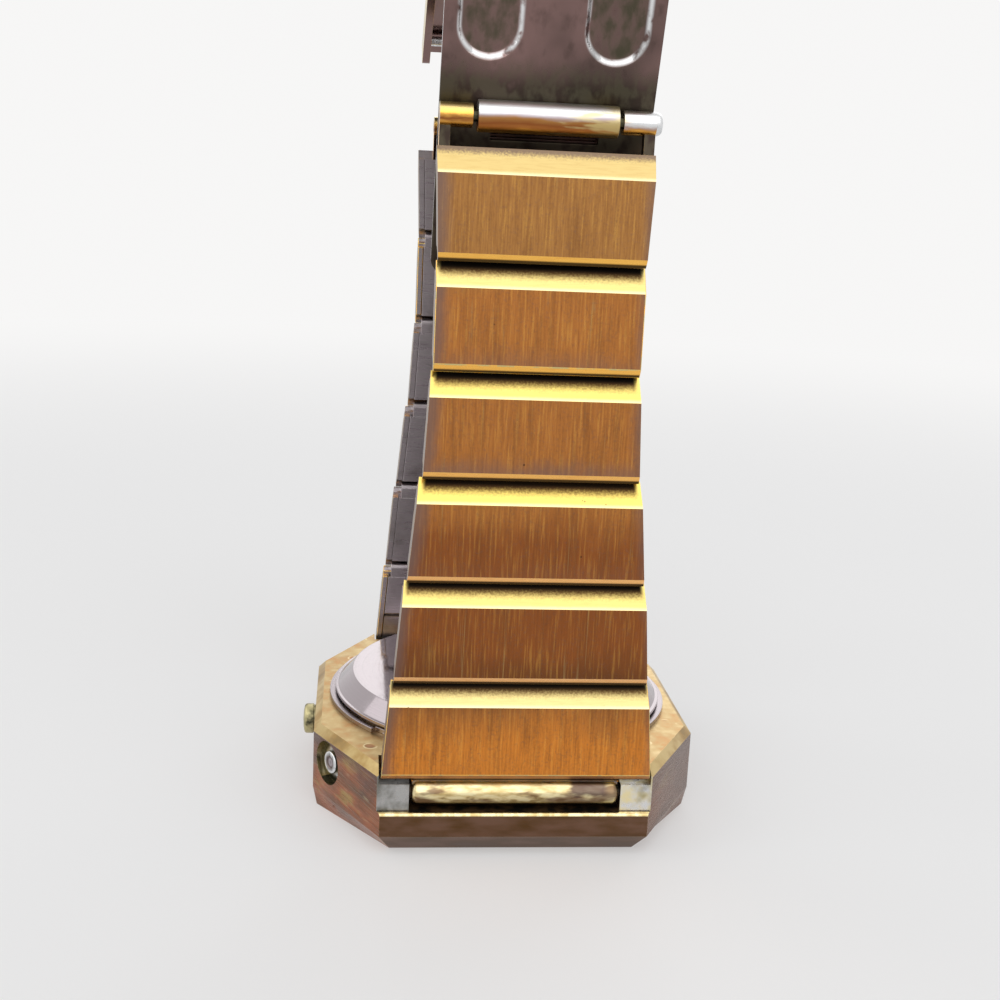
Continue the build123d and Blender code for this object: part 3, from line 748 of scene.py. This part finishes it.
@finish
def floor_pale(paint, c):
    """A pale floor that looks more like the backdrop further off."""
    paint.set(Base_Color=floor_shade, Roughness=0.8)
    far = paint.place.length().rise(glow_start, glow_end)
    glow = paint.node("Emission", {"Color": backdrop_shade, "Strength": 1})
    lit = Socket(paint, paint.shader.outputs[0])
    paint.surface("Material Output", (far * 0.6 + 0.4) * paint.seen(), lit, glow)


def linked(name, data):
    made = bpy.data.objects.new(name, data)
    bpy.context.scene.collection.objects.link(made)
    return made


def placed(piece, body, slot, *nodes):
    """Lets a finished piece ride on its body and stand for its nodes."""
    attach(piece, body)
    if nodes:
        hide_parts(*nodes)
    return piece


def dress(node, chosen):
    """Gives a CAD node that keeps its shape a finish."""
    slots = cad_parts[node].data.materials
    slots.clear()
    slots.append(chosen())


def welded(mesh):
    """A form made of a mesh, with the points that share a place joined."""
    same_place = 0.0005 * mm
    form = bmesh.new()
    form.from_mesh(mesh)
    bmesh.ops.remove_doubles(form, verts=form.verts, dist=same_place)
    return form


def finish_form(form, mesh):
    """Puts a form into a mesh, with smooth shading over every edge flatter than 30 degrees."""
    for face in form.faces:
        face.smooth = True
    for edge in form.edges:
        edge.smooth = edge.calc_face_angle(0) < math.radians(30)
    form.to_mesh(mesh)
    form.free()


def apply_modifiers(piece):
    """Makes the mesh that the modifiers give the piece's own mesh."""
    depsgraph = bpy.context.evaluated_depsgraph_get()
    mesh = bpy.data.meshes.new_from_object(piece.evaluated_get(depsgraph))
    piece.modifiers.clear()
    old, piece.data = piece.data, mesh
    mesh.name = old.name
    bpy.data.meshes.remove(old)


def round_edges(piece, width, degrees=32, material=-1, harden=True):
    """Rounds the edges that turn by more than so many degrees."""
    edges = piece.modifiers.new("edges", "BEVEL")
    edges.width, edges.segments, edges.limit_method = width, 2, "ANGLE"
    edges.angle_limit, edges.material, edges.harden_normals = math.radians(degrees), material, harden
    apply_modifiers(piece)


def rounded(name, node, body, slot, width, edge, pick=None, lip=None):
    """A copy of a CAD node with its flat faces whole, its edges rounded and a finish picked for each face.

    Without pick its faces look like its edges. A face that gets None is left out.
    """
    form = welded(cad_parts[node].data)
    bmesh.ops.dissolve_limit(form, angle_limit=math.radians(0.5), verts=form.verts, edges=form.edges)
    used, left_out = [], []
    for face in form.faces:
        chosen = pick(face.calc_center_median() / mm, face.normal) if pick else edge
        if chosen is None:
            left_out.append(face)
        elif chosen not in used:
            used.append(chosen)
        face.material_index = used.index(chosen) if chosen else 0
    bmesh.ops.delete(form, geom=left_out, context="FACES")
    if lip:
        lips = [e for e in form.edges if lip((e.verts[0].co + e.verts[1].co) / 2 / mm)]
        bmesh.ops.bevel(form, geom=lips, offset=sizes().lip_round, segments=4, profile=0.5, affect="EDGES",
                        material=len(used), clamp_overlap=True)
    mesh = bpy.data.meshes.new(name)
    finish_form(form, mesh)
    for chosen in [*used, edge]:
        mesh.materials.append(chosen())
    piece = linked(name, mesh)
    round_edges(piece, width, material=len(used))
    return placed(piece, body, slot, node)


def new_piece(name, points, faces, chosen):
    """A piece from points in millimetres."""
    mesh = bpy.data.meshes.new(name)
    mesh.from_pydata([Vector(p) * mm for p in points], [], faces)
    mesh.materials.append(chosen())
    return linked(name, mesh)


def smooth(piece):
    form = welded(piece.data)
    bmesh.ops.recalc_face_normals(form, faces=form.faces)
    finish_form(form, piece.data)
    return piece


def sides(count, first=0):
    """The faces between two rings of so many points, the first of which has this number."""
    pairs = [(first + i, first + (i + 1) % count) for i in range(count)]
    return [(i, j, j + count, i + count) for i, j in pairs]


def turned(name, outline, chosen, centre, axis=(1, 0, 0)):
    """A piece turned round an axis: the outline gives places along it with their radii."""
    centre, axis = Vector(centre), Vector(axis).normalized()
    side = axis.orthogonal().normalized()
    up = axis.cross(side)
    around = 64
    angles = [2 * math.pi * i / around for i in range(around)]
    points = [centre + axis * along + (side * math.cos(a) + up * math.sin(a)) * radius
              for along, radius in outline for a in angles]
    faces = [face for ring in range(len(outline) - 1) for face in sides(around, ring * around)]
    return smooth(new_piece(name, points, faces, chosen))


def round_end(reach, radius, rounding):
    """Outline points of a rod's rounded end at reach."""
    arc = [math.pi / 2 * i / 5 for i in range(6)]
    return [(reach - rounding + rounding * math.sin(a), radius - rounding + rounding * math.cos(a))
            for a in arc]


def extruded(name, outline, low, high, chosen, round_off):
    """A profile of places (y, z) drawn out along X from low to high, with rounded edges."""
    count = len(outline)
    points = [(x, y, z) for x in (low, high) for y, z in outline]
    faces = sides(count) + [tuple(range(count)), tuple(range(count, 2 * count))]
    piece = smooth(new_piece(name, points, faces, chosen))
    round_edges(piece, round_off * mm)
    return piece


def curled(name, low, high, radius, bore, centre, chosen):
    """A hinge tube rolled from sheet along X, with the seam where the sheet ends."""
    around, seam, gap = 48, math.radians(62), 0.09
    angles = [seam + gap / 2 + (2 * math.pi - gap) * i / around for i in range(around + 1)]
    loop = [(a, radius) for a in angles] + [(a, bore) for a in reversed(angles)]
    points = [(x, centre.y + r * math.cos(a), centre.z + r * math.sin(a))
              for x in (low, high) for a, r in loop]
    count = len(loop)
    faces = sides(count)
    for i in range(around):
        j = count - 1 - i
        faces += [(i, j, j - 1, i + 1), (count + i, count + i + 1, count + j - 1, count + j)]
    tube = smooth(new_piece(name, points, faces, chosen))
    round_edges(tube, 0.08 * mm, 50)
    return tube


def base_place(x, y, z):
    """A place on the base leaf: x across, y from its hinge towards its top, z out of its outer side."""
    return clasp_axis + Vector((x, 0, 0)) + leaf_along * y + leaf_out * z


def oval_press_at(x, y):
    """How deep the base leaf is pressed in at a place: two ovals with round shoulders and a low bead."""
    shoulder, bead_off, bead_half, bead_high = 0.55, 0.1, 0.35, 0.07
    off = math.hypot(abs(x) - oval_spread, max(0, abs(y - oval_middle) - oval_straight))
    share = min(1, max(0, (oval_half - off) / shoulder))
    bead = max(0, 1 - abs(off - oval_half - bead_off) / bead_half)
    return sizes().oval_press / mm * share * share * (3 - 2 * share) - bead_high * bead * bead


def spaced(low, high, *stops):
    """Places from low to high about a cell apart that meet every stop."""
    found = [low]
    for stop in (*stops, high):
        start = found[-1]
        count = max(1, round((stop - start) / cell))
        found += [start + (stop - start) * (i + 1) / count for i in range(count)]
    return found


class WATCH_OT_stage(bpy.types.Operator):
    """Makes the floor, the lamps, the sky and the camera"""
    bl_idname = "watch.stage"
    bl_label = "Stage"

    def execute(self, context):
        scene = context.scene
        scene.view_settings.view_transform = "Standard"
        corners = [(x * floor_reach, y * floor_reach, 0) for x, y in ((-1, -1), (1, -1), (1, 1), (-1, 1))]
        floor = new_piece("floor", corners, [(0, 1, 2, 3)], floor_pale)
        self.make_sky(scene)
        self.make_lamps()
        self.make_camera(scene)
        return {"FINISHED"}

    def make_sky(self, scene):
        scene.world = bpy.data.worlds.new("sky")
        sky = Nodes(scene.world)
        light = sky.node("Background", {"Color": sky_shade, "Strength": sky_strength})
        backdrop = sky.node("Background", {"Color": backdrop_shade, "Strength": 1})
        sky.surface("World Output", sky.seen(), light, backdrop)

    def make_lamps(self):
        for name, spot, width, power in lamps:
            lamp = bpy.data.lights.new(name, "AREA")
            lamp.size, lamp.energy = width, power
            holder = linked(name, lamp)
            holder.location, holder.visible_camera = spot, False
            holder.rotation_euler = (lamp_aim - Vector(spot)).to_track_quat("-Z", "Y").to_euler()

    def make_camera(self, scene):
        camera = bpy.data.cameras.new("camera")
        camera.sensor_width, camera.lens = sensor, sensor * focal_pixels / picture_pixels
        camera.clip_start, camera.clip_end = 0.005, 20
        pitch, yaw, roll = (math.radians(a) for a in camera_turn)
        level = math.cos(pitch)
        ahead = Vector((math.sin(yaw) * level, math.cos(yaw) * level, -math.sin(pitch)))
        right = Vector((math.cos(yaw), -math.sin(yaw), 0))
        up = right.cross(ahead)
        side = math.cos(roll) * right + math.sin(roll) * up
        top = -math.sin(roll) * right + math.cos(roll) * up
        place = Matrix((side, top, -ahead)).transposed().to_4x4()
        place.translation = camera_place * mm
        scene.camera = linked("camera", camera)
        scene.camera.matrix_world = place


class WATCH_OT_case(bpy.types.Operator):
    """Dresses the case with its walls, crest, pitted back and brushed front"""
    bl_idname = "watch.case"
    bl_label = "Case"

    def execute(self, context):
        def pick(centre, normal):
            across, along = abs(centre.x), abs(centre.y)
            from_pusher = centre - pusher_spot
            inward = from_pusher.dot(pusher_out)
            in_well = inward < -0.05 and (from_pusher - pusher_out * inward).length < well_radius
            in_notch = across < notch_half and along > notch_start and centre.z > notch_floor
            if normal.z < -0.9:
                return case_front
            if across < window_half and along < window_tall and centre.z < window_deep:
                return bright_edge
            if in_well:
                # Painted highlight: only the right-hand side of the well's rim gets the bright edge finish
                rim = inward > -0.75 and from_pusher.cross(pusher_out).z > 1.2
                return bright_edge if rim else setter_well
            # Notch walls and the window's side walls get painted shade
            if in_notch and normal.z < 0.9 or abs(normal.x) > 0.9 and across < window_half:
                return notch_painted_shade
            if normal.z > 0.9:
                return case_pitted if centre.z > back_foot else notch_painted_shade if in_notch else lug_pale
            if centre.z > crest_foot:
                return case_crest
            if abs(normal.y) > 0.98 and block_start < along < block_end:
                return lug_pale
            return case_end if abs(normal.y) > 0.6 and along > end_wall else case_wall

        def end_lip(middle):
            return abs(middle.y) > lip_out and abs(middle.z - lip_up) < 0.05
        width = sizes().case_round
        rounded("case_shell", "case_body", "case", "case_gold", width, bright_edge, pick, end_lip)
        return {"FINISHED"}


class WATCH_OT_case_back(bpy.types.Operator):
    """Dresses the polished case back and its step ring"""
    bl_idname = "watch.case_back"
    bl_label = "Case back"

    def execute(self, context):
        width = sizes().small_round
        rounded("back_plate", "case_back", "case", "back_steel", width, mirror_steel)
        rounded("step_ring", "back_ring", "case", "ring_steel", width, mirror_steel,
                lambda *face: ring_steel)
        return {"FINISHED"}


def link_pick(outward):
    """Picks the finishes of the caps of the strand that looks this way along Y."""
    def pick(centre, normal):
        out = normal.y * outward
        if centre.z < cap_foot:
            return None
        if centre.z > hinge_foot:
            return ear_wear_and_sheen if centre.z > ear_foot else base_steel
        if out > 0.97:
            return link_face
        if out > 0.6:
            return link_bevel if normal.z > 0 else link_lip
        if abs(normal.x) > 0.9:
            return link_side
        return liner_steel if out < -0.5 else link_lip
    return pick


class WATCH_OT_links(bpy.types.Operator):
    """Dresses the gold caps of both strands: brushed face, polished bevel and lip, worn sides"""
    bl_idname = "watch.links"
    bl_label = "Links"

    def execute(self, context):
        for strand, outward in strands.items():
            width, pick = sizes().link_round, link_pick(outward)
            for k in range(1, link_count + 1):
                body = f"{strand}_link_{k}"
                rounded(f"{body}_shell", f"{body}_cap", body, "link_gold", width, link_edge, pick)
            body = f"{strand}_link_1"
            end = round_end(lug_half, lug_radius, 0.6)
            outline = [(-lug_half, 0), *[(-x, r) for x, r in reversed(end)], *end, (lug_half, 0)]
            barrel = turned(f"{strand}_lug_barrel", outline, lug_barrel, (0, outward * lug_out, lug_up))
            placed(barrel, body, "link_gold")
            corners = ((19.1, lug_up), (19.1, 7.3), (17.75, 7.3), (17.75, lug_up))
            corners = [(outward * y, z) for y, z in corners]
            neck = extruded(f"{strand}_lug_neck", corners, -lug_half, lug_half, link_side, 0.12)
            placed(neck, body, "link_gold")
        return {"FINISHED"}


class WATCH_OT_liners(bpy.types.Operator):
    """Dresses the steel liners and the pins of both strands"""
    bl_idname = "watch.liners"
    bl_label = "Liners and pins"

    def execute(self, context):
        width = sizes().small_round
        for strand in strands:
            for k in range(1, link_count + 1):
                body = f"{strand}_link_{k}"
                rounded(f"{body}_lining", f"{body}_liner", body, "liner_steel", width, liner_steel)
                # The first pin sits inside the lug, so it gets painted shade
                dress(f"{body}_pin", notch_painted_shade if k == 1 else pin_steel)
        return {"FINISHED"}


class WATCH_OT_clasp(bpy.types.Operator):
    """Dresses the three clasp leaves and their pins"""
    bl_idname = "watch.clasp"
    bl_label = "Clasp"

    def execute(self, context):
        def pick(centre, normal):
            outer = normal.dot(cover_out) > 0.3 or abs(normal.x) > 0.9 and abs(centre.x) > 8.7
            return cover_gold if outer else leaf_steel
        width = sizes().leaf_round
        self.make_base(width)
        rounded("middle_plate", "middle_leaf", "middle_leaf", "leaf_steel", width, leaf_steel)
        rounded("cover_plate", "cover_leaf", "cover_leaf", "cover_gold", width, link_edge, pick)
        for node in ("middle_pin", "cover_pin", "cover_bar"):
            dress(node, pin_steel)
        domed = [(8.9, 0.5), (8.9, 0.95), (9.1, 0.95), *round_end(9.45, 0.9, 0.3)[1:], (9.5, 0)]
        pin = turned("clasp_pin_rod", [(-8.9, 0), (-8.9, 0.5), *domed], shaded_pin, clasp_axis)
        placed(pin, "near_link_6", "pin_steel", "clasp_pin")
        return {"FINISHED"}

    def make_base(self, width):
        """The base leaf, of pressed sheet with two ovals, a catch slot, a tongue and rolled hinges."""
        across = spaced(-leaf_half, leaf_half, -gap_half, -slot_half, slot_half, gap_half)
        along = spaced(tail, leaf_end, slot_low, slot_high, gap_low)
        points, faces, rows = [], [], len(across)
        for y in along:
            corner = max(0, tail_round - (y - tail))
            narrow = 1 - (tail_round - math.sqrt(tail_round ** 2 - corner ** 2)) / leaf_half
            for x in across:
                points.append(base_place(x * narrow, y, outer_side - oval_press_at(x, y)))
        for j, (low, high) in enumerate(zip(along, along[1:])):
            for i, (left, right) in enumerate(zip(across, across[1:])):
                x, y = abs(left + right) / 2, (low + high) / 2
                slot = slot_low < y < slot_high and x < slot_half
                gap = y > gap_low and x < gap_half
                if not (slot or gap):
                    first = j * rows + i
                    faces.append((first, first + 1, first + rows + 1, first + rows))
        plate = new_piece("base_plate", points, faces, base_steel)
        for face in plate.data.polygons:
            face.use_smooth = True
        solid = plate.modifiers.new("sheet", "SOLIDIFY")
        solid.thickness, solid.offset, solid.use_even_offset = sheet * mm, -1, True
        round_edges(plate, width, 50, harden=False)
        placed(plate, "base_leaf", "leaf_steel", "base_leaf")
        top, bore = base_place(0, 27, -1.6), 0.56
        hinges = (("base_barrel", -5.8, 5.8, 1.3, clasp_axis, hinge_wear_and_sheen),
                  ("top_knuckle_left", -leaf_half, -gap_half, 1, top, leaf_steel),
                  ("top_knuckle_right", gap_half, leaf_half, 1, top, leaf_steel))
        for name, low, high, radius, centre, chosen in hinges:
            placed(curled(name, low, high, radius, bore, centre, chosen), "base_leaf", "leaf_steel")
        bent = ((-3.3, -2.05), (-2.1, -2.05), (-1.75, -1.7), (-1.3, -1.7), (-1.3, -2.1), (-1.6, -2.1),
                (-1.95, -2.45), (-3.3, -2.45))
        profile = [base_place(0, y, z).yz for y, z in bent]
        tongue = extruded("catch_tongue", profile, -4.6, 4.6, base_steel, 0.06)
        placed(tongue, "base_leaf", "leaf_steel")


class WATCH_OT_buttons(bpy.types.Operator):
    """Dresses the push button and the recessed setting pusher"""
    bl_idname = "watch.buttons"
    bl_label = "Buttons"

    def execute(self, context):
        low, high = (corner.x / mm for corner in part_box("command_button"))
        groove = ((-18, head), (-18.45, head), (-18.5, 1.38), (-18.62, 1.38), (-18.67, head))
        reach = seat - low
        outline = [(seat - x, r) for x, r in ((high, 0), (high, stem), (-18, stem), *groove)]
        outline += [*round_end(reach - crown, head, 0.32), (reach - crown * 0.4, 0.8), (reach, 0)]
        button = turned("push_button", outline, button_gold, (seat, 0, button_up), (-1, 0, 0))
        placed(button, "command_button", "button_gold", "command_button")
        points = [point.co / mm - pusher_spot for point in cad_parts["set_pusher"].data.vertices]
        inner = min(point.dot(pusher_out) for point in points)
        outline = [(inner, 0), (inner, 0.6), (-0.5, 0.6), (-0.5, 1.1), *round_end(-0.25, 1.1, 0.15)[1:],
                   (-0.25, 0.62), (-0.34, 0.5), (-0.36, 0)]
        plunger = turned("plunger", outline, plunger_steel, pusher_spot, pusher_out)
        placed(plunger, "set_pusher", "leaf_steel", "set_pusher")
        for node in ("button_clip", "setter_clip"):
            dress(node, pin_steel)
        return {"FINISHED"}


class WATCH_OT_module(bpy.types.Operator):
    """Dresses the display, its filter and the module inside the case"""
    bl_idname = "watch.module"
    bl_label = "Display and module"

    def execute(self, context):
        self.make_window()
        self.make_digits()
        contacts = grained("contact_brass", "contact_gold", "pit_brown", 0.2, metallic=1)
        wear = {"led_display": grained("display_black", "black", "soot", 0.25),
                "module_holder": grained("holder_cream", "cream", "pit_brown", 0.5),
                "circuit_board": grained("board_green", "board_green", "soot", 0.35, 0.8),
                "driver_chip": grained("chip_black", "black", "grime", 0.4),
                "quartz_crystal": grained("crystal_can", "steel", "grey_steel", 0.15, metallic=1),
                "button_cells": turned_steel("cell_steel", "steel", "grey_steel", 0.15, 0.35),
                "battery_strap": contacts, "switch_contacts": contacts,
                "back_gasket": grained("seal_rubber", "black", "soot", 0.6, 5)}
        for node, chosen in wear.items():
            dress(node, chosen)
        return {"FINISHED"}

    def make_window(self):
        """The ruby filter, a little short of the display so that the lit bars have room."""
        room = 0.1 * mm
        window = rounded("ruby_window", "ruby_lens", "case", "ruby", sizes().small_round, ruby_filter)
        back = max(point.co.z for point in window.data.vertices)
        for point in window.data.vertices:
            if point.co.z > back - room:
                point.co.z -= room

    def make_digits(self):
        """Lit bars that show a time; they are read from below, with the far strand up."""
        tall = sizes().digit_height / mm / 2
        wide, half_thick, slant, apart = tall * 0.5, 0.16, 0.1, 0.05
        levels = [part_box("led_display")[0].z / mm + z for z in (-0.07, 0)]
        points, faces = [], []

        def bar(start, end):
            start, end = Vector(start), Vector(end)
            ahead = (end - start).normalized()
            point, side = ahead * half_thick, Vector((-ahead.y, ahead.x)) * half_thick
            start, end = start + ahead * apart, end - ahead * apart
            ring = (start, start + point + side, end - point + side, end, end - point - side,
                    start + point - side)
            first = len(points)
            points.extend((-spot.x - spot.y * slant, spot.y, z) for z in levels for spot in ring)
            faces.append([first + i for i in range(6)])
            faces.extend(sides(6, first))
        for centre, lit in lit_digits:
            for name in lit:
                bar(*[(centre + x * wide, y * tall) for x, y in bar_ends[name]])
        for y in (-0.75, 0.75):
            bar((-0.3, y), (0.3, y))
        placed(smooth(new_piece("lit_digits", points, faces, lit_bar)), "case", "display_black")


steps = (WATCH_OT_stage, WATCH_OT_case, WATCH_OT_case_back, WATCH_OT_links, WATCH_OT_liners, WATCH_OT_clasp,
         WATCH_OT_buttons, WATCH_OT_module)


class WATCH_PT_looks(bpy.types.Panel):
    """Lists the steps and the values that they use"""
    bl_idname = "WATCH_PT_looks"
    bl_label = "LED Watch"
    bl_space_type = "VIEW_3D"
    bl_region_type = "UI"
    bl_category = "LED Watch"

    def draw(self, context):
        for step in steps:
            self.layout.operator(step.bl_idname)
        for group in (context.scene.watch_sizes, context.scene.watch_colours):
            for key in group.__annotations__:
                self.layout.prop(group, key)


classes = (WatchColours, WatchSizes, *steps, WATCH_PT_looks)


def register():
    for each in classes:
        bpy.utils.register_class(each)
    bpy.types.Scene.watch_colours = bpy.props.PointerProperty(type=WatchColours)
    bpy.types.Scene.watch_sizes = bpy.props.PointerProperty(type=WatchSizes)


def unregister():
    del bpy.types.Scene.watch_colours, bpy.types.Scene.watch_sizes
    for each in reversed(classes):
        bpy.utils.unregister_class(each)


def main():
    register()
    for step in steps:
        group, name = step.bl_idname.split(".")
        getattr(getattr(bpy.ops, group), name)()


if __name__ == "__main__":
    main()
